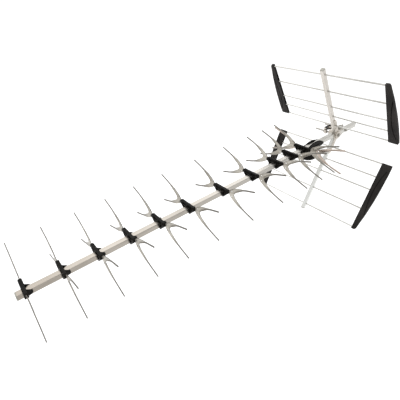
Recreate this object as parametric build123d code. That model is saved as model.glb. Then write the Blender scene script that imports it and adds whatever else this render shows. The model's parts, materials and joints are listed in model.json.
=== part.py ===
"""Long UHF antenna for a mast: square boom, crossed directors, dipole box, corner reflector, mast clamp.

The mast's axis is Z through the origin. The boom lies beside it, along X, and +X points at the transmitter.
"""
import math
import os
from build123d import *

# Boom
boom_side = 15.0
boom_wall = 1.2
boom_corner = 1.2
boom_front_x = 1165.0
boom_rear_x = -85.0
cap_flange = 3.0
cap_depth = 14.0

# Mast clamp
mast_r = 17.5
saddle_floor = 3.0
saddle_half_z = 16.0
saddle_half_x = 33.0
saddle_open_deg = 70.0
saddle_flange = 3.5
clamp_bolt_x = 27.0
clamp_bolt_r = 3.0
jaw_sheet = 2.5
jaw_half_z = 7.5
jaw_gap = 4.0
jaw_ear_x = 21.0
jaw_ear_y = 10.0
jaw_back_x = 15.0
jaw_clear = 3.0
jaw_bolt_tail = 36.0
nut_flats = 10.0
nut_height = 5.0

# Directors and their holders
director_x = [1148.0, 1060.0, 971.0, 882.0, 792.0, 695.0, 572.0, 452.0, 345.0, 273.0, 211.0]
director_sheet = 1.5
director_root_y = 31.0
director_tip_y = 122.0
director_rise = 45.5
director_z = 12.45
root_height = 6.6
root_hole_r = 2.0
finger_width = 4.4
holder_half_x = 5.0
holder_crest_x = 3.4
holder_web = 2.6
toe_reach = 16.6
toe_thick = 3.4

# Driven element and its box
driven_x = 192.0
driven_z = -1.0
driven_root_y = 37.0
driven_tip_y = 132.0
driven_rise = 41.0
box_half_x = 45.5
box_half_y = 13.0
box_shelf = 2.0
box_wall = 2.4
box_room = 12.0
skirt_drop = 18.0
skirt_half_x = 27.0
skirt_half_y = 21.0
cheek_top = 16.3
cheek_thick = 3.6
lug_reach = 31.0
cover_sheet = 2.5

# Corner reflector
lean_deg = 27.5
apex_x = 27.0
arm_side = 12.0
arm_wall = 1.2
arm_length = 290.0
rod_r = 2.5
rod_half = 190.0
rod_grip = 9.0
first_rod = 46.5
last_rod_inset = 17.5
rod_shares = [0.0, 0.2, 0.4, 0.7, 1.0]
plate_width = 27.0
plate_thick = 7.0
plate_wall = 2.2

# Hub plate that joins the arms to the boom
hub_sheet = 2.0
hub_disc_r = 18.0
hub_boss_r = 14.0
hub_boss_height = 4.0
hub_leg = 64.0
hub_leg_width = 16.0
inner_rivet = 32.0
outer_rivet_share = 0.451

# Clearances
fit_gap = 0.1
hole_gap = 0.2

boom_half = boom_side / 2
boom_y = mast_r + saddle_floor + boom_half
channel_half = boom_half + fit_gap
lean = math.radians(lean_deg)

os.makedirs("parts", exist_ok=True)
pieces = {}


def across(sketch, half):
    """Raise a sketch drawn as (y, z) into a plate of that half thickness along X."""
    return extrude(Plane.YZ * sketch, amount=half, both=True)


def upright(sketch, half):
    """Raise a sketch drawn as (x, z) into a plate of that half thickness along Y."""
    return extrude(Plane.XZ * sketch, amount=half, both=True)


def mirrored(points):
    """Close an outline given for y >= 0 with its mirror image."""
    return points + [(-y, z) for y, z in reversed(points) if y > 0]


def square_tube(side, wall, length, corner):
    """A square tube along Z from z = 0."""
    outer = RectangleRounded(side, side, corner)
    inner = RectangleRounded(side - 2 * wall, side - 2 * wall, max(corner - wall, 0.3))
    return extrude(outer - inner, amount=length)


def cylinder_y(radius, y0, y1):
    """A round bar along Y from y0 to y1."""
    return Pos(0, (y0 + y1) / 2, 0) * Rot(90, 0, 0) * Cylinder(radius, y1 - y0)


def hexagon_bar(flats, height):
    """A hexagonal bar along Z with its base at z = 0 and chamfered corners."""
    bar = extrude(RegularPolygon(flats / 2, 6, major_radius=False), amount=height)
    cone = Cone(flats / 2 + height + 0.4, flats / 2 - 0.2, height + 0.6, align=(Align.CENTER, Align.CENTER, Align.MIN))
    return bar & cone


# Boom with its drilled holes
boom = Pos(boom_rear_x, boom_y, 0) * Rot(0, 90, 0) * square_tube(
    boom_side, boom_wall, boom_front_x - boom_rear_x, boom_corner)
for bolt_x in (-clamp_bolt_x, clamp_bolt_x):
    boom -= Pos(bolt_x, boom_y, 0) * cylinder_y(clamp_bolt_r + hole_gap, -boom_side, boom_side)
boom -= Pos(0, boom_y, 0) * Cylinder(clamp_bolt_r + hole_gap, 2 * boom_side)
pieces["boom"] = boom


def end_plug(side, wall):
    """A plug for a square tube along Z: a chamfered flange from z = 0 up and a split stem below."""
    stem_side = side - 2 * wall - 2 * fit_gap
    flange = extrude(RectangleRounded(side, side, boom_corner + 0.8), amount=cap_flange)
    flange = chamfer(flange.faces().sort_by(Axis.Z)[-1].edges(), 0.8)
    stem = extrude(RectangleRounded(stem_side, stem_side, 0.8), amount=-cap_depth)
    stem -= Pos(0, 0, -cap_depth / 2 - 1) * Box(stem_side - 4, stem_side + 2, cap_depth - 1.9)
    return flange + stem


# Plugs in the boom's two ends
boom_plug = end_plug(boom_side, boom_wall)
pieces["boom_front_cap"] = Pos(boom_front_x, boom_y, 0) * Rot(0, 90, 0) * boom_plug
pieces["boom_rear_cap"] = Pos(boom_rear_x, boom_y, 0) * Rot(0, -90, 0) * boom_plug


def prong(root_y, tip_y, rise):
    """The upper half of a fork: a pierced root plate, a broad curved blade and a finger."""
    span = tip_y - root_y

    def spot(outward, upward):
        return root_y + outward * span, upward * rise

    flare = ThreePointArc((root_y, root_height / 2), spot(0.027, 0.21), spot(0.077, 0.32))
    crest = ThreePointArc(flare @ 1, spot(0.32, 0.598), spot(0.535, 0.74))
    shoulder = Line(crest @ 1, spot(0.556, 0.64))
    throat = ThreePointArc(shoulder @ 1, spot(0.39, 0.37), spot(0.275, 0.198))
    crotch = ThreePointArc(throat @ 1, spot(0.231, 0.119), spot(0.213, 0))
    middle = Line(crotch @ 1, (root_y, 0))
    root_edge = Line(middle @ 1, flare @ 0)
    blade = make_face([flare, crest, shoulder, throat, crotch, middle, root_edge])
    blade -= Pos(*spot(0.093, 0.187)) * Circle(root_hole_r)
    tip = (tip_y - finger_width / 2, rise)
    finger = ThreePointArc(spot(0.5, 0.655), spot(0.75, 0.835), tip)
    return blade + trace(finger, finger_width) + Pos(*tip) * Circle(finger_width / 2)


def fork(root_y, tip_y, rise):
    """The upper prong and its mirror image below."""
    upper = prong(root_y, tip_y, rise)
    return upper + mirror(upper, Plane.XZ)


# Director: one stamping that crosses the boom, with a fork at each side
side_fork = fork(director_root_y, director_tip_y, director_rise)
director_shape = side_fork + mirror(side_fork, Plane.YZ) + Rectangle(2 * director_root_y + 2, root_height)
director = across(director_shape, director_sheet / 2)

# Holder: a moulded bar across the boom with a gusset and a snap leg at each side, which grips the director
bar_end = director_root_y - 0.6
holder_side = [(0, 20.4), (bar_end - 9.9, 20.4), (bar_end - 6.0, 24.6), (bar_end - 4.0, 24.0), (bar_end, 15.2),
               (bar_end - 0.8, 8.6), (bar_end - 4.8, 6.8), (channel_half + 3.2, -9.8), (channel_half + 1.8, -11.2),
               (channel_half - 1.4, -11.2), (channel_half - 1.6, -channel_half - 0.2),
               (channel_half, -channel_half - 0.2), (channel_half, channel_half), (0, channel_half)]
holder_shape = make_face(Polyline(*mirrored(holder_side), close=True))
holder_section = make_face(Polyline((-4.2, -11.2), (-holder_half_x, -channel_half), (-holder_half_x, 11.0),
                                    (-holder_crest_x, 24.6), (holder_crest_x, 24.6), (holder_half_x, 11.0),
                                    (holder_half_x, -channel_half), (4.2, -11.2), close=True))
holder = across(holder_shape, holder_half_x) & upright(holder_section, director_root_y)
bar_pocket = make_face(Polyline((3.0, 10.0), (3.0, 18.2), (bar_end - 11.6, 18.2), (bar_end - 11.6, 10.0), close=True))
gusset_pocket = make_face(Polyline((channel_half + 2.4, -4.4), (channel_half + 2.4, 7.6), (bar_end - 8.4, 7.6),
                                   close=True))
for pocket in (bar_pocket, gusset_pocket):
    for face_x in (-holder_half_x, holder_half_x):
        recess = Pos(face_x, 0, 0) * across(pocket, holder_half_x - holder_web)
        holder -= recess
        holder -= mirror(recess, Plane.XZ)
toe = make_face(Polyline((-holder_half_x + 1, 13.6), (-8.0, 10.6), (-toe_reach + 2.6, 6.8), (-toe_reach, 3.6),
                         (-toe_reach + 0.4, 0.0), (-toe_reach + 3.4, -3.2), (-holder_half_x + 1, -5.6), close=True))
toe = Pos(0, channel_half, 0) * extrude(Plane.XZ * toe, amount=-toe_thick)
toe = chamfer(toe.edges().filter_by(Axis.Y).sort_by(Axis.X)[:3], 0.8)
holder += toe
holder += mirror(toe, Plane.XZ)
slot_height = root_height + 2 * fit_gap
holder -= Pos(0, 0, director_z) * Box(director_sheet + 2 * fit_gap, 200, slot_height)

# The last holder is turned round, so that its toes clear the dipole box
for number, place in enumerate(director_x, start=1):
    turn = 180 if place == director_x[-1] else 0
    pieces["director_%02d" % number] = Pos(place, boom_y, director_z) * director
    pieces["director_holder_%02d" % number] = Pos(place, boom_y, 0) * Rot(0, 0, turn) * holder

# Dipole box: arched cheeks beside the boom and, below it, a bowl that widens to a rain skirt
lug_x = box_half_x - 6.0
box_x = driven_x - lug_x
roof_z = -channel_half - box_wall
lid_z = roof_z - box_room
skirt_z = lid_z - skirt_drop
waist_x = 7.5
waist_half_x = (box_half_x + skirt_half_x) / 2 - 2.8
waist_half_y = (box_half_y + skirt_half_y) / 2 + 0.5
skirt_x = lug_x - skirt_half_x + 3.0
opening_x = skirt_half_x - box_wall
opening_y = waist_half_y - box_wall
ledge = 1.8


def oval(half_x, half_y, x, z):
    """An ellipse at height z, its centre at x on the boom's line."""
    return Pos(x, 0, z) * Ellipse(half_x, half_y)


box_body = loft([oval(skirt_half_x, skirt_half_y, skirt_x, skirt_z),
                 oval(waist_half_x, waist_half_y, waist_x, lid_z),
                 oval(box_half_x, box_half_y, 0, box_shelf)])
cheek_end = (box_half_x - 1.0, box_shelf - 1.0)
arch = ThreePointArc((-cheek_end[0], cheek_end[1]), (0, cheek_top), cheek_end)
cheek = make_face([arch, Polyline(cheek_end, (cheek_end[0] - 8, -channel_half),
                                  (8 - cheek_end[0], -channel_half), (-cheek_end[0], cheek_end[1]))])
cheek = Pos(0, channel_half, 0) * extrude(Plane.XZ * cheek, amount=-cheek_thick)
cheek = chamfer(cheek.faces().sort_by(Axis.Y)[-1].edges().filter_by(GeomType.CIRCLE), 1.2)
for side in (-1, 1):
    lug = Pos(lug_x, side * (channel_half + lug_reach) / 2, driven_z) * Box(9, lug_reach - channel_half, 13.5)
    box_body += chamfer(lug.edges().filter_by(Axis.Y), 1.5)
box_body += cheek
box_body += mirror(cheek, Plane.XZ)
box_body -= Pos(0, 0, 20 - channel_half) * Box(4 * box_half_x, 2 * channel_half, 40)
cavity_high = loft([oval(opening_x - ledge, opening_y - ledge, skirt_x, lid_z),
                    oval(opening_x - ledge, box_half_y - box_wall, skirt_x, roof_z)])
cavity_low = loft([oval(opening_x, skirt_half_y - box_wall, skirt_x, skirt_z),
                   oval(opening_x, opening_y, skirt_x, lid_z)])
box_body -= cavity_high
box_body -= cavity_low
for side in (-1, 1):
    tab_slot = Box(director_sheet + 2 * fit_gap, lug_reach, root_height + 2 * fit_gap)
    box_body -= Pos(lug_x, side * (lug_reach / 2 + 11.0), driven_z) * tab_slot
    box_body -= Pos(lug_x, side * (lug_reach - 5), driven_z) * Rot(0, 90, 0) * Cylinder(1.6, 30)
screw_spots = [(skirt_x - 14.0, -6.0), (skirt_x - 14.0, 6.0), (skirt_x + 3.0, -8.6), (skirt_x + 3.0, 8.6)]
for x, y in screw_spots:
    box_body += Pos(x, y, lid_z) * extrude(Circle(3.2), amount=box_room + 1.0)
    box_body -= Pos(x, y, lid_z) * extrude(Circle(1.3), amount=box_room - 2.0)
pieces["dipole_box"] = Pos(box_x, boom_y, 0) * box_body

# Lid inside the skirt, screwed up against the posts
socket_at = skirt_x + 8.0
lid_half_x = opening_x - 0.3
lid_half_y = opening_y - 0.3
cover = Pos(skirt_x, 0, lid_z) * extrude(Ellipse(lid_half_x, lid_half_y), amount=-cover_sheet)
lid_rim = Ellipse(lid_half_x - 1.0, lid_half_y - 1.0) - Ellipse(lid_half_x - 2.6, lid_half_y - 2.6)
cover += Pos(skirt_x, 0, lid_z - cover_sheet) * extrude(lid_rim, amount=-1.4)
for x, y in screw_spots:
    cover -= Pos(x, y, lid_z) * Cylinder(1.7, 20)
cover -= Pos(socket_at, 0, lid_z) * Cylinder(4.1, 20)
pieces["dipole_box_cover"] = Pos(box_x, boom_y, 0) * cover


def screw(head_r, head_h, shank_r, length):
    """A cross-head screw along Z: the head above z = 0 and the shank below."""
    body = extrude(Circle(head_r), amount=head_h)
    body = fillet(body.faces().sort_by(Axis.Z)[-1].edges(), head_h * 0.45)
    body += extrude(Circle(shank_r), amount=-length)
    recess = Box(head_r * 1.2, 0.7, 1.0) + Box(0.7, head_r * 1.2, 1.0)
    return body - Pos(0, 0, head_h) * recess


cover_screw = Rot(180, 0, 0) * screw(2.6, 1.8, 1.25, 9.0)
pieces["box_screws"] = Compound([
    Pos(box_x + x, boom_y + y, lid_z - cover_sheet) * cover_screw for x, y in screw_spots])

# Coaxial socket in the lid, pointing down inside the skirt
socket = extrude(Circle(4.0), amount=-cover_sheet)
socket += extrude(Circle(6.0), amount=1.6)
socket += Pos(0, 0, -cover_sheet) * extrude(RegularPolygon(5.5, 6, major_radius=False), amount=-2.5)
thread = Pos(0, 0, -cover_sheet - 2.5) * extrude(Circle(4.7), amount=-11.0)
socket += chamfer(thread.faces().sort_by(Axis.Z)[0].edges(), 0.5)
socket -= Pos(0, 0, -cover_sheet - 13.5) * extrude(Circle(3.4), amount=13.0)
pieces["coax_socket"] = Pos(box_x + socket_at, boom_y, lid_z) * socket
insulator = Pos(0, 0, -cover_sheet - 12.5) * extrude(Circle(3.4 - 0.02), amount=12.0)
insulator -= Pos(0, 0, -cover_sheet - 12.5) * extrude(Circle(0.6), amount=9.0)
pieces["socket_insulator"] = Pos(box_x + socket_at, boom_y, lid_z) * insulator

# Balun board inside the box, gripped by the posts, with a lead down to the socket
board_z = lid_z + 5.0
board = Pos(skirt_x, 0) * Rectangle(35, 14)
for x, y in screw_spots:
    board -= Pos(x, y) * Circle(3.2 + fit_gap)
board = Pos(0, 0, board_z) * extrude(board, amount=1.6)
balun = Pos(skirt_x - 4, 0, board_z + 1.6) * extrude(Circle(5.0) - Circle(2.4), amount=2.6)
lead = Pos(socket_at, 0, lid_z + 1.6) * extrude(Circle(1.0), amount=board_z - lid_z - 1.6)
pieces["balun_board"] = Pos(box_x, boom_y, 0) * (board + balun + lead)

# Driven element: a fork at each side, its root tab held in the box by a screw
driven_fork = fork(driven_root_y, driven_tip_y, driven_rise)
driven_fork += Pos((12.0 + driven_root_y) / 2 + 0.5, 0) * Rectangle(driven_root_y - 11.0, root_height)
driven_fork -= Pos(lug_reach - 5, 0) * Circle(1.6)
driven_half = across(driven_fork, director_sheet / 2)
pieces["driven_element_near"] = Pos(driven_x, boom_y, driven_z) * driven_half
pieces["driven_element_far"] = Pos(driven_x, boom_y, driven_z) * mirror(driven_half, Plane.XZ)
terminal = Pos(driven_x + 4.5, boom_y, driven_z) * Rot(0, 90, 0) * screw(3.2, 2.0, 1.5, 12.0)
pieces["terminal_screws"] = Compound([Pos(0, side * (lug_reach - 5), 0) * terminal for side in (-1, 1)])

# Reflector arms: tubes that leave the boom and lean forward
rod_spread = arm_length - last_rod_inset - first_rod
rod_along = [first_rod + share * rod_spread for share in rod_shares]
arm_offset = boom_half - arm_side / 2
tube = Pos(0, arm_offset, 0) * square_tube(arm_side, arm_wall, arm_length, boom_corner)
for along in rod_along:
    tube -= Pos(0, 0, along) * cylinder_y(rod_r + hole_gap, -2 * boom_side, 2 * boom_side)
hub_leg_end = hub_leg + hub_leg_width / 2
rivet_along = [inner_rivet, first_rod + outer_rivet_share * (hub_leg_end - first_rod)]
for along in rivet_along:
    tube -= Pos(0, boom_half, along) * cylinder_y(2.1, -arm_wall - 0.4, 1)
lean_up = Pos(apex_x, boom_y, 0) * Rot(0, lean_deg, 0)
below_top = Pos(apex_x, boom_y, boom_half + fit_gap - 100) * Box(400, 100, 200)
arm = lean_up * tube - below_top
pieces["reflector_arm_upper"] = arm
pieces["reflector_arm_lower"] = mirror(arm, Plane.XY)
arm_cap = lean_up * Pos(0, arm_offset, arm_length) * end_plug(arm_side, arm_wall)
pieces["arm_cap_upper"] = arm_cap
pieces["arm_cap_lower"] = mirror(arm_cap, Plane.XY)

# Hub plate over the boom's near side, with a leg along each arm and a round boss
leg = Pos(0, hub_leg / 2) * Rectangle(hub_leg_width, hub_leg)
leg += Pos(0, hub_leg) * Circle(hub_leg_width / 2)
hub_shape = Circle(hub_disc_r) + Rot(0, 0, -lean_deg) * leg + Rot(0, 0, lean_deg + 180) * leg
hub = upright(hub_shape, hub_sheet / 2)
boss = Rot(-90, 0, 0) * extrude(Circle(hub_boss_r), amount=hub_boss_height + hub_sheet / 2)
boss = fillet(boss.faces().sort_by(Axis.Y)[-1].edges(), 1.6)
hub += boss
hub -= cylinder_y(clamp_bolt_r + hole_gap, -10, 10)
hub_y = boom_y + boom_half + hub_sheet / 2
hub = Pos(apex_x, hub_y, 0) * hub
rivet = cylinder_y(2.0, -hub_sheet - arm_wall, 0) + Pos(0, 0, 0) * cylinder_y(3.6, 0, 1.0)
rivet = fillet(rivet.faces().sort_by(Axis.Y)[-1].edges(), 0.8)
rivets = []
for along in rivet_along:
    spot = lean_up * Pos(0, boom_half + hub_sheet, along)
    hub -= spot * cylinder_y(2.1, -10, 10)
    hub -= mirror(spot * cylinder_y(2.1, -10, 10), Plane.XY)
    rivets.append(spot * rivet)
    rivets.append(mirror(spot * rivet, Plane.XY))
rod_way = lean_up * Pos(0, 0, first_rod) * cylinder_y(rod_r + hole_gap, -2 * boom_side, 2 * boom_side)
hub -= rod_way
hub -= mirror(rod_way, Plane.XY)
pieces["hub_plate"] = hub
pieces["hub_rivets"] = Compound(rivets)

# Reflector rods, numbered outward from the boom
rod = cylinder_y(rod_r, -rod_half, rod_half)
for number, along in enumerate(rod_along, start=1):
    placed = lean_up * Pos(0, 0, along) * rod
    pieces["reflector_rod_upper_%d" % number] = placed
    pieces["reflector_rod_lower_%d" % number] = mirror(placed, Plane.XY)

# End plates: moulded wings that hold the rods' ends. Drawn as (outward from the boom line, along the arm)
plate_inner_y = rod_half - rod_grip
plate_start = rod_along[0] - 10.5
plate_end = rod_along[-1] + 14.5
plate_long = plate_end - plate_start
inner_line = Line((plate_inner_y, plate_start), (plate_inner_y, plate_end))
outer_end = Line(inner_line @ 1, (plate_inner_y + 0.22 * plate_width, plate_end + 2))
outer_curve = ThreePointArc(outer_end @ 1, (plate_inner_y + 0.83 * plate_width, plate_start + 0.69 * plate_long),
                            (plate_inner_y + plate_width, plate_start + 0.36 * plate_long))
lower_curve = TangentArc(outer_curve @ 1, (plate_inner_y + 0.85 * plate_width, plate_start + 2),
                         tangent=outer_curve % 1)
inner_end = Line(lower_curve @ 1, inner_line @ 0)
wing = make_face([inner_line, outer_end, outer_curve, lower_curve, inner_end])
rim = offset(wing, -plate_wall)
pocket_y = rod_half + fit_gap + plate_wall
pocket_space = Pos(pocket_y + plate_width, plate_start + plate_long / 2) * Rectangle(2 * plate_width, plate_long)
rib_along = rod_along + [(rod_along[0] + rod_along[1]) / 2]
bars = Sketch() + [Pos(pocket_y + plate_width, along) * Rectangle(2 * plate_width, plate_wall) for along in rib_along]
end_plate = extrude(wing, amount=plate_thick / 2, both=True)
sunk = extrude((rim & pocket_space) - bars, amount=plate_thick)
end_plate -= Pos(0, 0, 1.2 - plate_thick / 2) * sunk
end_plate = Rot(0, 0, 90) * Rot(90, 0, 0) * end_plate
for along in rod_along:
    end_plate -= Pos(0, 0, along) * cylinder_y(rod_r + fit_gap, 0, rod_half + fit_gap)
plate_upper = lean_up * end_plate
plate_far = mirror(plate_upper, Plane.XZ.offset(-boom_y))
pieces["end_plate_upper_near"] = plate_upper
pieces["end_plate_upper_far"] = plate_far
pieces["end_plate_lower_near"] = mirror(plate_upper, Plane.XY)
pieces["end_plate_lower_far"] = mirror(plate_far, Plane.XY)

# Clamp saddle: seats the mast, backs on the boom and wraps over its top and bottom
seat_depth = mast_r * math.cos(math.radians(saddle_open_deg))
boom_face = boom_y - boom_half
saddle = Pos(0, (seat_depth + boom_face) / 2, 0) * Box(
    2 * saddle_half_x, boom_face - seat_depth, 2 * saddle_half_z)
saddle = chamfer(saddle.edges().filter_by(Axis.Y), 3.0)
saddle -= Cylinder(mast_r, 4 * saddle_half_z)
for x in (-clamp_bolt_x, clamp_bolt_x):
    saddle -= Pos(x, 0, 0) * cylinder_y(clamp_bolt_r + hole_gap, -50, 50)
for x in (-1, 1):
    for z in (-1, 1):
        cell = Pos(x * 24.5, boom_face - 4.0, z * 9.6) * Box(9, 8.1, 7)
        saddle -= cell
ear_y = boom_side - 0.6
ear = Pos(0, boom_face + ear_y / 2, boom_half + fit_gap + saddle_flange / 2) * Box(26, ear_y, saddle_flange)
ear = chamfer(ear.edges().filter_by(Axis.Z).sort_by(Axis.Y)[-2:], 4.0)
ears = ear + mirror(ear, Plane.XY)
ears -= Pos(0, boom_y, 0) * Cylinder(clamp_bolt_r + hole_gap, 60)
saddle += ears
pieces["clamp_saddle"] = saddle

# Clamp jaw: a folded channel with an ear for each bolt, its two flanges cut to the mast
jaw_half_x = saddle_half_x
jaw_back_y = mast_r + jaw_clear + jaw_sheet


def jaw_face(inset, lip):
    """The channel's outline from above, its back and ears moved in by inset. The open side is at y = lip."""
    half = [(jaw_half_x - inset, lip), (jaw_half_x - inset, -jaw_ear_y + inset), (jaw_ear_x - inset, -jaw_ear_y + inset),
            (jaw_back_x - inset, -jaw_back_y + inset)]
    return make_face(Polyline(*half, *[(-x, y) for x, y in reversed(half)], close=True))


jaw = extrude(jaw_face(0, -jaw_gap), amount=jaw_half_z, both=True)
jaw -= extrude(jaw_face(jaw_sheet, 1.0), amount=jaw_half_z - jaw_sheet, both=True)
jaw -= Cylinder(mast_r, 4 * saddle_half_z)
for x in (-clamp_bolt_x, clamp_bolt_x):
    jaw -= Pos(x, -jaw_ear_y, 0) * cylinder_y(clamp_bolt_r + hole_gap, -20, 20)
pieces["clamp_jaw"] = jaw

# Clamp bolts through the boom, and the nuts on the jaw
head_seats = {-clamp_bolt_x: boom_y + boom_half, clamp_bolt_x: hub_y + hub_sheet / 2 + hub_boss_height}
bolts = []
nuts = []
for x, seat_y in head_seats.items():
    head = Pos(x, seat_y, 0) * Rot(-90, 0, 0) * hexagon_bar(nut_flats, 4.0)
    bolts.append(head + Pos(x, 0, 0) * cylinder_y(clamp_bolt_r, -jaw_ear_y - jaw_bolt_tail, seat_y))
    nut = hexagon_bar(nut_flats, nut_height) - Cylinder(clamp_bolt_r, 40)
    nuts.append(Pos(x, -jaw_ear_y, 0) * Rot(90, 0, 0) * nut)
pieces["clamp_bolts"] = Compound(bolts)
pieces["clamp_nuts"] = Compound(nuts)

# Upright bolt that holds the saddle to the boom, with its wing nut on top
ear_top = boom_half + fit_gap + saddle_flange
tie = Pos(0, 0, -ear_top) * Rot(180, 0, 0) * hexagon_bar(nut_flats, 4.0)
tie += Pos(0, 0, -ear_top) * extrude(Circle(clamp_bolt_r), amount=2 * ear_top + 14)
pieces["saddle_bolt"] = Pos(0, boom_y, 0) * tie
wing_half = [(3.0, 2.0), (7.5, 2.6), (13.5, 9.5), (13.0, 13.0), (10.0, 13.6), (6.0, 8.4), (3.0, 7.6)]
wing_nut = Cone(6.4, 4.6, 8.0, align=(Align.CENTER, Align.CENTER, Align.MIN))
one_wing = extrude(Plane.XZ * make_face(Polyline(*wing_half, close=True)), amount=1.3, both=True)
wing_nut += one_wing
wing_nut += mirror(one_wing, Plane.YZ)
wing_nut -= Cylinder(clamp_bolt_r, 60)
pieces["wing_nut"] = Pos(0, boom_y, ear_top) * wing_nut

for name, shape in pieces.items():
    shape.label = name
    export_step(shape, "parts/%s.step" % name)
print(len(pieces), "pieces written")
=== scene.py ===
import json
import math
import bmesh
import bpy
from mathutils import Matrix, Vector


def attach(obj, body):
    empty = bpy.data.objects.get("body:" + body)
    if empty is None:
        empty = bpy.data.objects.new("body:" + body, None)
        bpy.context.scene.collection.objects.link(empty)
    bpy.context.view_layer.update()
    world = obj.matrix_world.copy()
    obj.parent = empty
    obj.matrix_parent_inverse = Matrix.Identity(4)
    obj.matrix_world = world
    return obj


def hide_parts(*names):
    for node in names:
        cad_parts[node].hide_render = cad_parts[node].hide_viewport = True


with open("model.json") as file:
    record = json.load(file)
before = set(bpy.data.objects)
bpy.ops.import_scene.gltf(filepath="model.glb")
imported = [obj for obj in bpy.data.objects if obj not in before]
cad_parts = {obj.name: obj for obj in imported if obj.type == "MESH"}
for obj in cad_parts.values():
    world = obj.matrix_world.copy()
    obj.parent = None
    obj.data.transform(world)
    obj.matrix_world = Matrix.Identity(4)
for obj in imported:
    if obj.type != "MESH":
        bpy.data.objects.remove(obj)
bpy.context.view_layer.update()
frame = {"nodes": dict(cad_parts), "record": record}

nodes = frame["nodes"]
MM = 0.001     # sizes are given in mm and multiplied by this


# Materials ------------------------------------------------------------------------------------------------

def colour(text):
    """A hex sRGB colour as linear RGBA."""
    values = [int(text[i:i + 2], 16) / 255 for i in (1, 3, 5)]
    return tuple(v / 12.92 if v <= 0.04045 else ((v + 0.055) / 1.055) ** 2.4 for v in values) + (1.0,)


def add(tree, kind, place=(0, 0), links=(), settings=None, **inputs):
    """Add a node with its settings, its input values and the links (from socket, to input name) that feed it."""
    node = tree.nodes.new(kind)
    node.location = place
    for name, value in (settings or {}).items():
        setattr(node, name, value)
    for name, value in inputs.items():
        node.inputs[name.replace("_", " ")].default_value = value
    for source, name in links:
        tree.links.new(source, node.inputs[name])
    return node


def new_material(name):
    """An empty material with its Principled shader."""
    made = bpy.data.materials.new(name)
    made.use_nodes = True
    return made, made.node_tree, made.node_tree.nodes["Principled BSDF"]


relief = 0.2 * MM       # the height of a full-strength mark in any surface
cloud_size = 111.111    # slow changes of tone on a metal, in mm, as storage and handling leave
flow_size = 71.4286     # slow changes of tone on a moulding, in mm, as the melt leaves where it flowed


def drawn_metal(name, light, dark, line_size, roughness, turn=0.0, marks=0.08):
    """Drawn, extruded or rolled metal: lines, their size given in mm along X, Y and Z, and clouds of tone."""
    made, tree, shader = new_material(name)
    coords = add(tree, "ShaderNodeTexCoord", (-1200, 0))
    mapping = add(tree, "ShaderNodeMapping", (-1000, 0), [(coords.outputs["Object"], "Vector")],
                  {"vector_type": "TEXTURE"}, Scale=[size * MM for size in line_size], Rotation=(0, turn, 0))
    lines = add(tree, "ShaderNodeTexNoise", (-800, 100), [(mapping.outputs["Vector"], "Vector")],
                Scale=1.0, Detail=4.0, Roughness=0.6)
    cloud = add(tree, "ShaderNodeTexNoise", (-800, -200), [(coords.outputs["Object"], "Vector")],
                Scale=1 / (cloud_size * MM), Detail=3.0)
    tone = add(tree, "ShaderNodeMath", (-600, 0), [(lines.outputs["Fac"], 0), (cloud.outputs["Fac"], 1)],
               {"operation": "MULTIPLY"})
    ramp = add(tree, "ShaderNodeValToRGB", (-400, 0), [(tone.outputs["Value"], "Fac")])
    for mark, level, shade in zip(ramp.color_ramp.elements, (0.15, 0.38), (dark, light)):
        mark.position = level
        mark.color = colour(shade)
    rough = add(tree, "ShaderNodeMapRange", (-400, -300), [(lines.outputs["Fac"], "Value")],
                To_Min=roughness[0], To_Max=roughness[1])
    bump = add(tree, "ShaderNodeBump", (-200, -400), [(lines.outputs["Fac"], "Height")],
               Strength=marks, Distance=relief)
    tree.links.new(ramp.outputs["Color"], shader.inputs["Base Color"])
    tree.links.new(rough.outputs["Result"], shader.inputs["Roughness"])
    tree.links.new(bump.outputs["Normal"], shader.inputs["Normal"])
    shader.inputs["Metallic"].default_value = 1.0
    return made


def tone_along(made, axis, stops, tint):
    """Lay a tint over a metal along one axis of the part. Each stop is a place in metres and the tint's share."""
    tree = made.node_tree
    shader = tree.nodes["Principled BSDF"]
    before = shader.inputs["Base Color"].links[0].from_socket
    first, last = stops[0][0], stops[-1][0]
    coords = add(tree, "ShaderNodeTexCoord", (-1100, 500))
    split = add(tree, "ShaderNodeSeparateXYZ", (-900, 500), [(coords.outputs["Object"], "Vector")])
    place = add(tree, "ShaderNodeMapRange", (-700, 500), [(split.outputs[axis], "Value")],
                From_Min=first, From_Max=last)
    share = add(tree, "ShaderNodeValToRGB", (-500, 500), [(place.outputs["Result"], "Fac")])
    marks = share.color_ramp.elements
    while len(marks) < len(stops):
        marks.new(0.5)
    for mark, (spot, amount) in zip(marks, stops):
        mark.position = (spot - first) / (last - first)
        mark.color = (amount, amount, amount, 1)
    blend = add(tree, "ShaderNodeMixRGB", (-200, 300), [(share.outputs["Color"], "Fac"), (before, "Color1")],
                Color2=colour(tint))
    tree.links.new(blend.outputs["Color"], shader.inputs["Base Color"])


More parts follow.
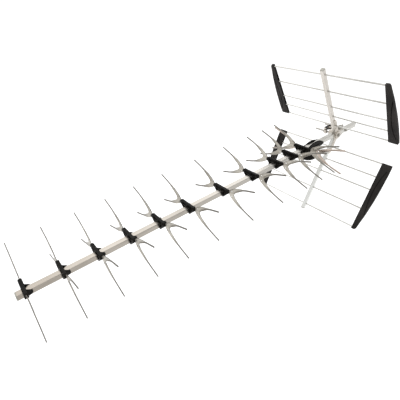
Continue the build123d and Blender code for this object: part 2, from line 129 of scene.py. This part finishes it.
def moulded(name, light, dark, grain_size, roughness, gloss=0.5):
    """Moulded plastic: a grain, its size given in mm, and slow changes of tone."""
    made, tree, shader = new_material(name)
    coords = add(tree, "ShaderNodeTexCoord", (-1000, 0))
    grain = add(tree, "ShaderNodeTexNoise", (-800, 0), [(coords.outputs["Object"], "Vector")],
                Scale=1 / (grain_size * MM), Detail=3.0, Roughness=0.6)
    flow = add(tree, "ShaderNodeTexNoise", (-800, -300), [(coords.outputs["Object"], "Vector")],
               Scale=1 / (flow_size * MM), Detail=2.0)
    ramp = add(tree, "ShaderNodeValToRGB", (-400, 0), [(flow.outputs["Fac"], "Fac")])
    for mark, level, shade in zip(ramp.color_ramp.elements, (0.35, 0.65), (dark, light)):
        mark.position = level
        mark.color = colour(shade)
    rough = add(tree, "ShaderNodeMapRange", (-400, -300), [(grain.outputs["Fac"], "Value")],
                To_Min=roughness[0], To_Max=roughness[1])
    bump = add(tree, "ShaderNodeBump", (-200, -400), [(grain.outputs["Fac"], "Height")],
               Strength=0.25, Distance=relief)
    tree.links.new(ramp.outputs["Color"], shader.inputs["Base Color"])
    tree.links.new(rough.outputs["Result"], shader.inputs["Roughness"])
    tree.links.new(bump.outputs["Normal"], shader.inputs["Normal"])
    shader.inputs["Specular IOR Level"].default_value = gloss
    return made


def plated(name, light, dark, roughness):
    """Plated steel or brass: a crystal grain, cloudy tone and patches of different gloss."""
    made = moulded(name, light, dark, 1.11111, roughness)
    made.node_tree.nodes["Principled BSDF"].inputs["Metallic"].default_value = 1.0
    return made


lean = math.radians(27.5)   # how far the two reflector arms lean forward from upright

# The lines that a die, a roller or a shear leaves are a few hundredths of a millimetre apart, and the grain of the
# plastics and the plating is little coarser. Both are too fine to show here, so they are drawn 1 to 3 mm broad.

# Square aluminium tube as it comes from the extruder: faint lines along it draw the light into long soft streaks.
# Painted light and shade along it: its colour is paler towards the reflector and darker towards its front end.
boom_metal = drawn_metal("extruded_aluminium", "#A19A91", "#8D867D", (333.333, 2.38095, 2.38095), (0.22, 0.34),
                         marks=0.06)
tone_along(boom_metal, "X", [(-0.05, 0.55), (0.05, 0.55), (0.62, 0.18), (1.20, 0.0)], "#D9DAD6")
# The same tube for the arms, duller, with its lines along each leaning arm. Painted light: both arms get a paler
# colour than the boom's, and the lower arm is paler still
upper_arm_metal = drawn_metal("extruded_aluminium_upper_arm", "#DAD6D1", "#C8C3BC", (2.38095, 2.38095, 333.333),
                              (0.32, 0.48), lean, 0.06)
lower_arm_metal = drawn_metal("extruded_aluminium_lower_arm", "#E0E1DE", "#CFCFCB", (2.38095, 2.38095, 333.333),
                              (0.32, 0.48), -lean, 0.06)
# Cold-drawn aluminium rod: bright, with one thin soft highlight along each rod
rod_metal = drawn_metal("drawn_aluminium_rod", "#D2D1CD", "#B4B2AD", (2.0, 200.0, 2.0), (0.28, 0.42), marks=0.05)
# Rolled aluminium strip, stamped and pressed: satin blades, with the prongs' outer ends and fingers a darker grey
stamped_metal = drawn_metal("stamped_aluminium", "#B9B5AC", "#938E85", (3.33333, 83.3333, 3.33333), (0.28, 0.42))
tone_along(stamped_metal, "Y", [(-0.094, 0.9), (-0.056, 0.9), (-0.026, 0.0), (0.082, 0.0), (0.112, 0.9),
                                (0.150, 0.9)], "#787570")
# The same strip for the driven element, a little warmer than the directors
driven_metal = drawn_metal("stamped_aluminium_driven", "#C0B3A9", "#A69A90", (3.33333, 83.3333, 3.33333),
                           (0.28, 0.42), marks=0.06)
# The torn edge of a stamping, rough from the shear and painted dark as shade: a thin dark outline round each prong,
# and painted shadow in its holes
sheared_edge_shade = drawn_metal("aluminium_edge_painted_shade", "#6E6B64", "#45433F", (1.11111, 16.6667, 1.11111),
                           (0.40, 0.60))
# Aluminium sheet, pressed and then tumbled: an even satin with small clouds, 17 mm across, and no lines
sheet_metal = drawn_metal("pressed_aluminium_sheet", "#D2CCC4", "#B4AEA5", (16.6667, 16.6667, 16.6667),
                          (0.32, 0.48))
# Black polypropylene from a mould with a rough grain: matt charcoal that never quite reaches black
plate_plastic = moulded("grained_black_moulding", "#2A2725", "#1B1918", 1.11111, (0.5, 0.7), 0.12)
# Black weatherproof ABS from a plain mould: near black, with a dull sheen on its edges
black_plastic = moulded("black_moulded_plastic", "#100E0B", "#070604", 0.714286, (0.42, 0.62), 0.10)
# Grey polyethylene, moulded: flat and slightly waxy plugs
grey_plastic = moulded("grey_moulded_plastic", "#A3A198", "#8B897F", 0.833333, (0.42, 0.58))
# Steel with a bright zinc plate: a cool, patchy shine
zinc_steel = plated("zinc_plated_steel", "#B5B2AC", "#85827B", (0.30, 0.50))
# Turned brass with a nickel plate: a warmer and sharper shine
nickel = plated("nickel_plated_brass", "#C9C3B6", "#A59F92", (0.15, 0.32))
# White polyethylene, moulded: a soft, milky insulator
white_plastic = moulded("white_insulator_plastic", "#E9E7E1", "#D9D6CE", 1.428571, (0.25, 0.4))
# Circuit board under solder mask: a smooth green lacquer over the weave
board_green = moulded("coated_circuit_board", "#2E6B3C", "#20502C", 3.33333, (0.3, 0.5))

finish_of_slot = {
    "aluminium_tube": boom_metal,
    "aluminium_rod": rod_metal,
    "aluminium_stamping": stamped_metal,
    "aluminium_sheet": sheet_metal,
    "black_moulding": black_plastic,
    "grey_plug": grey_plastic,
    "zinc_plated_steel": zinc_steel,
    "nickel_plated_brass": nickel,
    "white_insulator": white_plastic,
    "circuit_board": board_green,
}
finish_of_arm = {"reflector_arm_upper": upper_arm_metal, "reflector_arm_lower": lower_arm_metal}
for part in frame["record"]["subparts"]:
    finish = finish_of_arm.get(part["node"], finish_of_slot[part["material_slot"]])
    for place in nodes[part["node"]].material_slots:
        place.material = finish


# Hand tools -----------------------------------------------------------------------------------------------

def only(piece):
    """Select one object alone and make it active."""
    bpy.ops.object.select_all(action="DESELECT")
    piece.select_set(True)
    bpy.context.view_layer.objects.active = piece


def pick(piece, test):
    """In edit mode, select the vertices whose place passes a test."""
    bpy.ops.mesh.select_all(action="DESELECT")
    mesh = bmesh.from_edit_mesh(piece.data)
    for vert in mesh.verts:
        vert.select = test(vert.co)
    mesh.select_flush(True)
    bmesh.update_edit_mesh(piece.data)


def pick_faces(piece, test):
    """In edit mode, select the faces whose middle and normal pass a test."""
    bpy.ops.mesh.select_all(action="DESELECT")
    mesh = bmesh.from_edit_mesh(piece.data)
    for face in mesh.faces:
        if test(face.calc_center_median(), face.normal):
            face.select_set(True)
    bmesh.update_edit_mesh(piece.data)


def move_where(piece, test, by):
    """Move the vertices that pass a test."""
    only(piece)
    bpy.ops.object.mode_set(mode="EDIT")
    pick(piece, test)
    bpy.ops.transform.translate(value=by)
    bpy.ops.object.mode_set(mode="OBJECT")


def apply_modifier(piece, kind, **settings):
    """Add a modifier with its settings and apply it."""
    only(piece)
    made = piece.modifiers.new(kind.lower(), kind)
    for name, value in settings.items():
        setattr(made, name, value)
    bpy.ops.object.modifier_apply(modifier=made.name)


def round_edges(piece, width, sharper_than):
    """Round, by a width in mm, every edge that turns by more than an angle in degrees."""
    apply_modifier(piece, "BEVEL", width=width * MM, segments=2, limit_method="ANGLE",
                   angle_limit=math.radians(sharper_than))


def shade_smooth(piece, up_to):
    """Shade smooth over edges that turn by less than an angle in degrees."""
    only(piece)
    bpy.ops.object.shade_smooth_by_angle(angle=math.radians(up_to))


def tidy_shell(piece):
    """Merge doubles and turn the faces outwards."""
    only(piece)
    bpy.ops.object.mode_set(mode="EDIT")
    bpy.ops.mesh.select_all(action="SELECT")
    bpy.ops.mesh.remove_doubles(threshold=0.02 * MM)
    bpy.ops.mesh.normals_make_consistent(inside=False)
    bpy.ops.object.mode_set(mode="OBJECT")


def copy_of(piece):
    """A copy with its own mesh."""
    only(piece)
    bpy.ops.object.duplicate()
    return bpy.context.object


def mirrored_copy(piece, scale):
    """A copy turned over along one axis, its normals made right again."""
    turned = copy_of(piece)
    turned.scale = scale
    bpy.ops.object.transform_apply(location=False, rotation=False, scale=True)
    tidy_shell(turned)
    return turned


def copy_of_node(name):
    """A copy of a node's mesh as a new object, merged and with its flat faces whole."""
    piece = bpy.data.objects.new(name, nodes[name].data.copy())
    bpy.context.scene.collection.objects.link(piece)
    only(piece)
    bpy.ops.object.mode_set(mode="EDIT")
    bpy.ops.mesh.select_all(action="SELECT")
    bpy.ops.mesh.remove_doubles(threshold=0.01 * MM)
    bpy.ops.mesh.dissolve_limited(angle_limit=math.radians(2))
    bpy.ops.object.mode_set(mode="OBJECT")
    return piece


def settle(piece, place, turn=(0, 0, 0)):
    """Turn and move a piece modelled at the origin, and put its place in its mesh."""
    only(piece)
    piece.rotation_euler = turn
    piece.location = place
    bpy.ops.object.transform_apply(location=True, rotation=True, scale=True)


def dress(piece, name, finish, slot, *replaced):
    """Name a finished piece, give it its finish, if it has none yet, and tie it to the frame."""
    piece.name = name
    piece.data.name = name
    if finish:
        piece.data.materials.clear()
        piece.data.materials.append(finish)
    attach(piece, "root")
    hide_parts(*replaced)


# Directors ------------------------------------------------------------------------------------------------

# In mm: a stamping that crosses the boom, with prongs pressed to a gutter section
fork_sheet = 1.5
fork_edge_round = 0.35
fork_half_root = 3.3
root_end = 1.5          # the level root strip stops this far short of the root
root_gutter = 0.05
finger_gutter = 1.5
finger_tip = 0.55       # the breadth of the tip, as a share of the finger's
# Each row crosses a blade: its inner end and its outer end as shares of span and rise, and the gutter's depth in mm
blade_rows = [
    ((0.03, 0.0), (0.022, 0.19), 0.1), ((0.08, 0.0), (0.07, 0.30), 0.4), ((0.14, 0.0), (0.155, 0.41), 1.0),
    ((0.19, 0.0), (0.225, 0.50), 1.4), ((0.222, 0.13), (0.278, 0.555), 1.6), ((0.265, 0.22), (0.33, 0.60), 1.6),
    ((0.32, 0.30), (0.385, 0.643), 1.6), ((0.385, 0.395), (0.44, 0.68), 1.5), ((0.455, 0.50), (0.49, 0.708), 1.5),
    ((0.53, 0.605), (0.545, 0.74), 1.5)]
# The middle of each row of a finger, as shares of span and rise
finger_rows = [(0.61, 0.735), (0.68, 0.79), (0.76, 0.842), (0.84, 0.895), (0.92, 0.948), (0.97, 0.981),
               (0.985, 0.991)]
# The points between a row's two ends: their share of its breadth, and of its gutter's depth
gutter_points = ((0.25, 0.75), (0.5, 1.0), (0.75, 0.75))
# The hole in each blade's root: its radius in mm, and its place as shares of span and rise
fork_hole_r = 2.0
fork_hole_out = 0.093
fork_hole_up = 0.187


def fork_rows(root_y, tip_y, rise, start_y, finger_half):
    """The rows of a prong from the middle of the stamping to the tip, in mm."""
    span = tip_y - root_y
    rows = [((y, 0.0), (y, fork_half_root), root_gutter) for y in (start_y, root_y - root_end)]
    for inner, outer, depth in blade_rows:
        rows.append(((root_y + inner[0] * span, inner[1] * rise),
                     (root_y + outer[0] * span, outer[1] * rise), depth))
    first, last = finger_rows[0], finger_rows[-1]
    slope = math.atan2((last[1] - first[1]) * rise, (last[0] - first[0]) * span)
    for outward, upward in finger_rows:
        half = finger_half * (finger_tip if (outward, upward) == last else 1.0)
        y = root_y + outward * span
        z = upward * rise
        rows.append(((y + half * math.sin(slope), z - half * math.cos(slope)),
                     (y - half * math.sin(slope), z + half * math.cos(slope)), finger_gutter * half / finger_half))
    return rows


def model_prong(rows):
    """Extrude a strip of four faces from row to row, turned and widened at each, and pressed deeper towards -X."""
    measures = []
    for inner, outer, depth in rows:
        middle = Vector((0, (inner[0] + outer[0]) / 2, (inner[1] + outer[1]) / 2)) * MM
        run = (outer[0] - inner[0], outer[1] - inner[1])
        measures.append((middle, math.hypot(*run) * MM, math.atan2(-run[0], run[1]), depth * MM))
    bpy.ops.object.select_all(action="DESELECT")
    bpy.ops.mesh.primitive_grid_add(x_subdivisions=4, y_subdivisions=1, size=1.0, rotation=(0, -math.pi / 2, 0))
    piece = bpy.context.object
    bpy.ops.object.transform_apply(location=False, rotation=True, scale=False)
    bpy.ops.object.mode_set(mode="EDIT")
    # One edge of the grid, at y 0.5, stays and becomes the first row
    pick(piece, lambda co: co.y < 0)
    bpy.ops.mesh.delete(type="VERT")
    bpy.ops.mesh.select_all(action="SELECT")
    middle, width, _, depth = measures[0]
    bpy.ops.transform.translate(value=middle - Vector((0, 0.5, 0)))
    bpy.ops.transform.resize(value=(1, 1, width), center_override=middle)
    for share, deep in gutter_points:
        height = middle.z + (share - 0.5) * width
        pick(piece, lambda co: abs(co.z - height) < 0.05 * width)
        bpy.ops.transform.translate(value=(-deep * depth, 0, 0))
    bpy.ops.mesh.select_all(action="SELECT")
    for before, (middle, width, tilt, depth) in zip(measures, measures[1:]):
        bpy.ops.mesh.extrude_region_move(TRANSFORM_OT_translate={"value": middle - before[0]})
        # With no window this operator turns the other way
        bpy.ops.transform.rotate(value=-(tilt - before[2]), orient_axis="X", center_override=middle)
        wider = width / before[1]
        bpy.ops.transform.resize(value=(depth / before[3], wider, wider), center_override=middle)
    bpy.ops.object.mode_set(mode="OBJECT")
    return piece


def pierce(piece, radius, spots):
    """Cut a round hole through the sheet along X at each spot (y, z) in mm."""
    for y, z in spots:
        bpy.ops.object.select_all(action="DESELECT")
        bpy.ops.mesh.primitive_cylinder_add(vertices=24, radius=radius * MM, depth=20 * MM,
                                            location=(0, y * MM, z * MM), rotation=(0, math.pi / 2, 0))
        punch = bpy.context.object
        apply_modifier(piece, "BOOLEAN", object=punch, operation="DIFFERENCE", solver="EXACT")
        bpy.data.objects.remove(punch, do_unlink=True)


def mark_edge_shade(piece, most_x):
    """Give the dark edge finish, painted shade, to every face that looks less than most_x along X, across the
    sheet.
    """
    for face in piece.data.polygons:
        if abs(face.normal.x) < most_x:
            face.material_index = 1


def model_fork(root_y, tip_y, rise, start_y, both_sides, finger_half, metal):
    """A fork, or two joined by their root strip, as a shell with rounded edges and pierced roots."""
    piece = model_prong(fork_rows(root_y, tip_y, rise, start_y, finger_half))
    apply_modifier(piece, "MIRROR", use_axis=(False, both_sides, True), use_clip=True, merge_threshold=0.03 * MM)
    tidy_shell(piece)
    piece.data.materials.append(metal)
    piece.data.materials.append(sheared_edge_shade)
    apply_modifier(piece, "SOLIDIFY", thickness=fork_sheet * MM, offset=0.0, use_even_offset=True)
    # The cut edges take the painted shade
    mark_edge_shade(piece, 0.35)
    round_edges(piece, fork_edge_round, sharper_than=50)
    spots = [(root_y + fork_hole_out * (tip_y - root_y), side * fork_hole_up * rise) for side in (1, -1)]
    if both_sides:
        spots += [(-y, z) for y, z in spots]
    pierce(piece, fork_hole_r, spots)
    # The hole walls take it too: painted shadow in each hole
    mark_edge_shade(piece, 0.2)
    shade_smooth(piece, up_to=38)
    return piece


boom_y = 28.0
director_z = 12.45
director_x = [1148.0, 1060.0, 971.0, 882.0, 792.0, 695.0, 572.0, 452.0, 345.0, 273.0, 211.0]
first_director = model_fork(root_y=31.0, tip_y=122.0, rise=45.5, start_y=0.0, both_sides=True, finger_half=2.2,
                            metal=stamped_metal)
directors = [first_director] + [copy_of(first_director) for _ in director_x[1:]]
for number, (piece, x) in enumerate(zip(directors, director_x), start=1):
    settle(piece, Vector((x, boom_y, director_z)) * MM)
    dress(piece, "director_%02d_forks" % number, None, "aluminium_stamping", "director_%02d" % number)

# Holders: first the raised ends and then the whole crest come down, and every edge is rounded as it left the mould.
# In mm: all above this height comes down by this much.
crest_drops = ((22.5, 3.2), (16.2, 2.6))
for number in range(1, len(director_x) + 1):
    piece = copy_of_node("director_holder_%02d" % number)
    for height, drop in crest_drops:
        move_where(piece, lambda co: co.z > height * MM, (0, 0, -drop * MM))
    round_edges(piece, 0.3, sharper_than=30)
    shade_smooth(piece, up_to=40)
    dress(piece, "director_%02d_clip" % number, black_plastic, "black_moulding", "director_holder_%02d" % number)


# Driven element -------------------------------------------------------------------------------------------

# Two halves, each a single fork that starts inside the box
driven_x = 192.0
driven_z = -1.0
driven_near = model_fork(root_y=37.0, tip_y=132.0, rise=41.0, start_y=13.0, both_sides=False, finger_half=2.8,
                         metal=driven_metal)
driven_far = mirrored_copy(driven_near, (1, -1, 1))
for piece, side in ((driven_near, "near"), (driven_far, "far")):
    settle(piece, Vector((driven_x, boom_y, driven_z)) * MM)
    dress(piece, "driven_forks_%s" % side, None, "aluminium_stamping", "driven_element_%s" % side)


# Reflector end plates -------------------------------------------------------------------------------------

# In mm along the arm: place, then groove and outer edge, both out from the boom line
plate_outline = [(43.5, 203.0, 209.6), (47.0, 203.4, 210.8), (66.0, 205.0, 211.2), (76.0, 201.1, 211.2),
                 (92.0, 197.6, 210.6), (111.0, 195.0, 210.2), (130.0, 193.6, 209.4), (150.0, 193.2, 208.4),
                 (170.0, 194.0, 207.0), (188.0, 195.5, 205.2), (206.0, 197.9, 203.4), (222.0, 199.9, 201.8),
                 (240.0, 193.5, 199.0), (258.0, 191.5, 196.2), (272.0, 190.0, 194.4), (278.0, 187.0, 191.4)]
plate_inner = 181.5
plate_half_thick = 3.5
plate_edge_round = 0.4
groove_half = 1.25
groove_depth = 3.4
groove_span = (65.5, 222.5)
# A panel is sunk in the front and pockets in the back and the inner side, each with a rim and a depth
panel_clear = 1.5       # the panel and the back's pockets start this far out from the groove's middle
panel_span = (65.5, 207.5)
panel_rim, panel_depth = 1.2, 0.7
back_span = (47.0, 206.5)
back_rim, back_depth = 1.3, 3.0
side_rim, side_depth = 0.9, 5.0
# The rods enter the plate's inner side at these places, each through a rib
rod_places = (46.5, 91.7, 136.9, 204.7, 272.5)
rib_half = 3.6


def row_at(rows, along):
    """The groove and the outer edge at a place along the plate, between the rows on each side of it."""
    for low, high in zip(rows, rows[1:]):
        if low[0] <= along <= high[0]:
            share = (along - low[0]) / (high[0] - low[0])
            return along, low[1] + share * (high[1] - low[1]), low[2] + share * (high[2] - low[2])


# A row at each end of the plate, one at each edge of a rib, and those of the outline that stand clear of the ribs
plate_ends = (plate_outline[0][0], plate_outline[-1][0])
rib_edges = [place + side * rib_half for place in rod_places for side in (-1, 1)
             if plate_ends[0] < place + side * rib_half < plate_ends[1]]
clear_places = [row[0] for row in plate_outline if min(abs(row[0] - edge) for edge in rib_edges) > 3.0]
plate_rows = [row_at(plate_outline, along) for along in sorted({*rib_edges, *clear_places, *plate_ends})]


def past_groove(middle):
    """How far out from the middle of the groove a place on the plate is, in mm."""
    return middle.y / MM - row_at(plate_rows, middle.z / MM)[1]


def within(middle, span):
    """Whether a place is inside a span along the plate."""
    return span[0] < middle.z / MM < span[1]


def between_ribs(middle):
    """Whether a place is clear of every rib."""
    return min(abs(middle.z / MM - place) for place in rod_places) > rib_half


def model_end_plate():
    """A grid drawn out to the plate's outline, given its thickness, a groove, a sunk panel and pockets."""
    count = len(plate_rows)
    bpy.ops.object.select_all(action="DESELECT")
    bpy.ops.mesh.primitive_grid_add(x_subdivisions=3, y_subdivisions=count - 1, size=1.0,
                                    rotation=(math.pi / 2, 0, math.pi / 2))
    piece = bpy.context.object
    bpy.ops.object.transform_apply(location=False, rotation=True, scale=False)
    # The grid waits far off with its vertices a metre apart, so none is taken for one already in its place
    wait_x = 10.0
    bpy.ops.object.mode_set(mode="EDIT")
    bpy.ops.mesh.select_all(action="SELECT")
    bpy.ops.transform.resize(value=(1, 3.0, count - 1.0))
    bpy.ops.transform.translate(value=(wait_x, 1.5, (count - 1) / 2))
    for number, (along, groove, outer) in enumerate(plate_rows):
        for column, out in enumerate((plate_inner, groove - groove_half, groove + groove_half, outer)):
            spot = Vector((wait_x, column, number))
            pick(piece, lambda co: (co - spot).length < 0.01)
            bpy.ops.transform.translate(value=Vector((plate_half_thick, out, along)) * MM - spot)
    bpy.ops.mesh.select_all(action="SELECT")
    bpy.ops.mesh.extrude_region_move(TRANSFORM_OT_translate={"value": (-2 * plate_half_thick * MM, 0, 0)})
    bpy.ops.mesh.select_all(action="SELECT")
    bpy.ops.mesh.normals_make_consistent(inside=False)
    bpy.ops.mesh.select_mode(type="FACE")
    # The curved groove, pressed into the front
    pick_faces(piece, lambda middle, normal: normal.x > 0.9 and within(middle, groove_span)
               and abs(past_groove(middle)) < 0.5)
    bpy.ops.mesh.extrude_region_move(TRANSFORM_OT_translate={"value": (-groove_depth * MM, 0, 0)})
    # The sunk panel between the groove and the outer edge
    pick_faces(piece, lambda middle, normal: normal.x > 0.9 and within(middle, panel_span)
               and past_groove(middle) > panel_clear)
    bpy.ops.mesh.inset(thickness=panel_rim * MM, depth=-panel_depth * MM)
    # One pocket a face behind the panel
    pick_faces(piece, lambda middle, normal: normal.x < -0.9 and within(middle, back_span)
               and past_groove(middle) > panel_clear)
    bpy.ops.mesh.inset(thickness=back_rim * MM, depth=-back_depth * MM, use_individual=True)
    # Pockets in the inner side, one between each two ribs
    pick_faces(piece, lambda middle, normal: normal.y < -0.9 and abs(middle.y / MM - plate_inner) < 0.1
               and between_ribs(middle))
    bpy.ops.mesh.inset(thickness=side_rim * MM, depth=-side_depth * MM)
    bpy.ops.mesh.select_mode(type="VERT")
    bpy.ops.object.mode_set(mode="OBJECT")
    round_edges(piece, plate_edge_round, sharper_than=40)
    shade_smooth(piece, up_to=40)
    return piece


hub_x = 27.0            # the arms, and so the plates, lean forward from this place on the boom line
plate_near = model_end_plate()
plate_far = mirrored_copy(plate_near, (1, -1, 1))
for piece, side in ((plate_near, "near"), (plate_far, "far")):
    settle(piece, Vector((hub_x, boom_y, 0)) * MM, (0, lean, 0))
    below = mirrored_copy(piece, (1, 1, -1))
    dress(piece, "upper_wing_%s" % side, plate_plastic, "black_moulding", "end_plate_upper_%s" % side)
    dress(below, "lower_wing_%s" % side, plate_plastic, "black_moulding", "end_plate_lower_%s" % side)


# Mast clamp -----------------------------------------------------------------------------------------------

clamp_edge_round = 0.5

# The jaw's two flanges are black, and the web between them is given pale bare metal: painted light that stands in
# for the bright backdrop seen through the channel
jaw_web_half = 4.9
jaw = copy_of_node("clamp_jaw")
round_edges(jaw, clamp_edge_round, sharper_than=30)
shade_smooth(jaw, up_to=40)
jaw.data.materials.clear()
jaw.data.materials.append(black_plastic)
jaw.data.materials.append(sheet_metal)
for face in jaw.data.polygons:
    face.material_index = 1 if abs(face.center.z) < jaw_web_half * MM else 0
dress(jaw, "mast_jaw", None, "black_moulding", "clamp_jaw")

# The saddle is a low pressing: all that stands out from its seat on the boom is drawn in from above and below
saddle_cut = 12.5
saddle_seat = 18.5
saddle_drop = 5.5
saddle = copy_of_node("clamp_saddle")
for side in (1, -1):
    move_where(saddle, lambda co: side * co.z > saddle_cut * MM and co.y < saddle_seat * MM,
               (0, 0, -side * saddle_drop * MM))
round_edges(saddle, clamp_edge_round, sharper_than=30)
shade_smooth(saddle, up_to=40)
dress(saddle, "mast_saddle", sheet_metal, "aluminium_sheet", "clamp_saddle")


# Dipole box -----------------------------------------------------------------------------------------------

# The rim of the box's far cheek is drawn down, so only a thin arc shows over the boom
cheek_top = 8.5
cheek_off_boom = 6.0
cheek_drop = 2.8
box = copy_of_node("dipole_box")
move_where(box, lambda co: co.z > cheek_top * MM and co.y < (boom_y - cheek_off_boom) * MM,
           (0, 0, -cheek_drop * MM))
dress(box, "box_shell", black_plastic, "black_moulding", "dipole_box")


# Studio ---------------------------------------------------------------------------------------------------

bpy.ops.object.select_all(action="DESELECT")
bpy.ops.mesh.primitive_plane_add(size=160.0, location=(0.5, 0.0, -0.85))
floor = bpy.context.object
floor.name = "floor"
# Painted board: a flat white without shine. The lift takes it to full white wherever it is seen or reflected.
floor_lift = 0.12
pale, pale_tree, pale_shader = new_material("pale_floor")
pale_shader.inputs["Base Color"].default_value = colour("#FAFAFA")
pale_shader.inputs["Roughness"].default_value = 0.9
pale_shader.inputs["Specular IOR Level"].default_value = 0.1
pale_shader.inputs["Emission Color"].default_value = colour("#FFFFFF")
path = add(pale_tree, "ShaderNodeLightPath", (-600, 0))
seen = path.outputs["Is Camera Ray"]
for column, ray in ((-400, "Is Glossy Ray"), (-200, "Is Transmission Ray")):
    either = add(pale_tree, "ShaderNodeMath", (column, 0), [(seen, 0), (path.outputs[ray], 1)],
                 {"operation": "MAXIMUM"})
    seen = either.outputs["Value"]
lift = add(pale_tree, "ShaderNodeMath", (0, 0), [(seen, 0)], {"operation": "MULTIPLY"})
lift.inputs[1].default_value = floor_lift
pale_tree.links.new(lift.outputs["Value"], pale_shader.inputs["Emission Strength"])
floor.data.materials.append(pale)


def soft_light(name, place, aim, size, power):
    """A rectangular area light at a place, pointing at another."""
    data = bpy.data.lights.new(name, "AREA")
    data.shape = "RECTANGLE"
    data.size, data.size_y = size
    data.energy = power
    lamp = bpy.data.objects.new(name, data)
    lamp.location = place
    lamp.rotation_euler = (Vector(aim) - Vector(place)).to_track_quat("-Z", "Y").to_euler()
    bpy.context.scene.collection.objects.link(lamp)


# One light from above and in front, and a long one on the far side that runs a gleam along the boom's top
soft_light("key_light", (1.2, 0.6, 2.8), (0.5, 0, 0), (2.0, 2.0), 24)
soft_light("far_light", (-0.3, -1.9, 1.8), (-0.3, 0, 0), (4.6, 1.6), 32)

world = bpy.data.worlds.new("studio")
bpy.context.scene.world = world
world.use_nodes = True
sky = world.node_tree.nodes["Background"]
sky.inputs["Color"].default_value = colour("#FFFFFF")
sky.inputs["Strength"].default_value = 1.0

# Camera abreast of the boom's front end, above it and on the near side
camera_data = bpy.data.cameras.new("camera")
camera = bpy.data.objects.new("camera", camera_data)
bpy.context.scene.collection.objects.link(camera)
right = Vector((-0.8307, 0.5464, -0.1066)).normalized()
ahead = Vector((-0.4293, -0.7506, -0.5023)).normalized()
up = right.cross(ahead).normalized()
turn = Matrix((right, up, -ahead)).transposed()
camera.matrix_world = Matrix.Translation((1.1478, 0.6423, 0.5710)) @ turn.to_4x4()
camera_data.sensor_width = 36.0
camera_data.lens = 30.97
camera_data.shift_x = 0.1218
camera_data.shift_y = -0.0705
camera_data.clip_end = 500.0
bpy.context.scene.camera = camera

bpy.context.scene.view_settings.view_transform = "Standard"
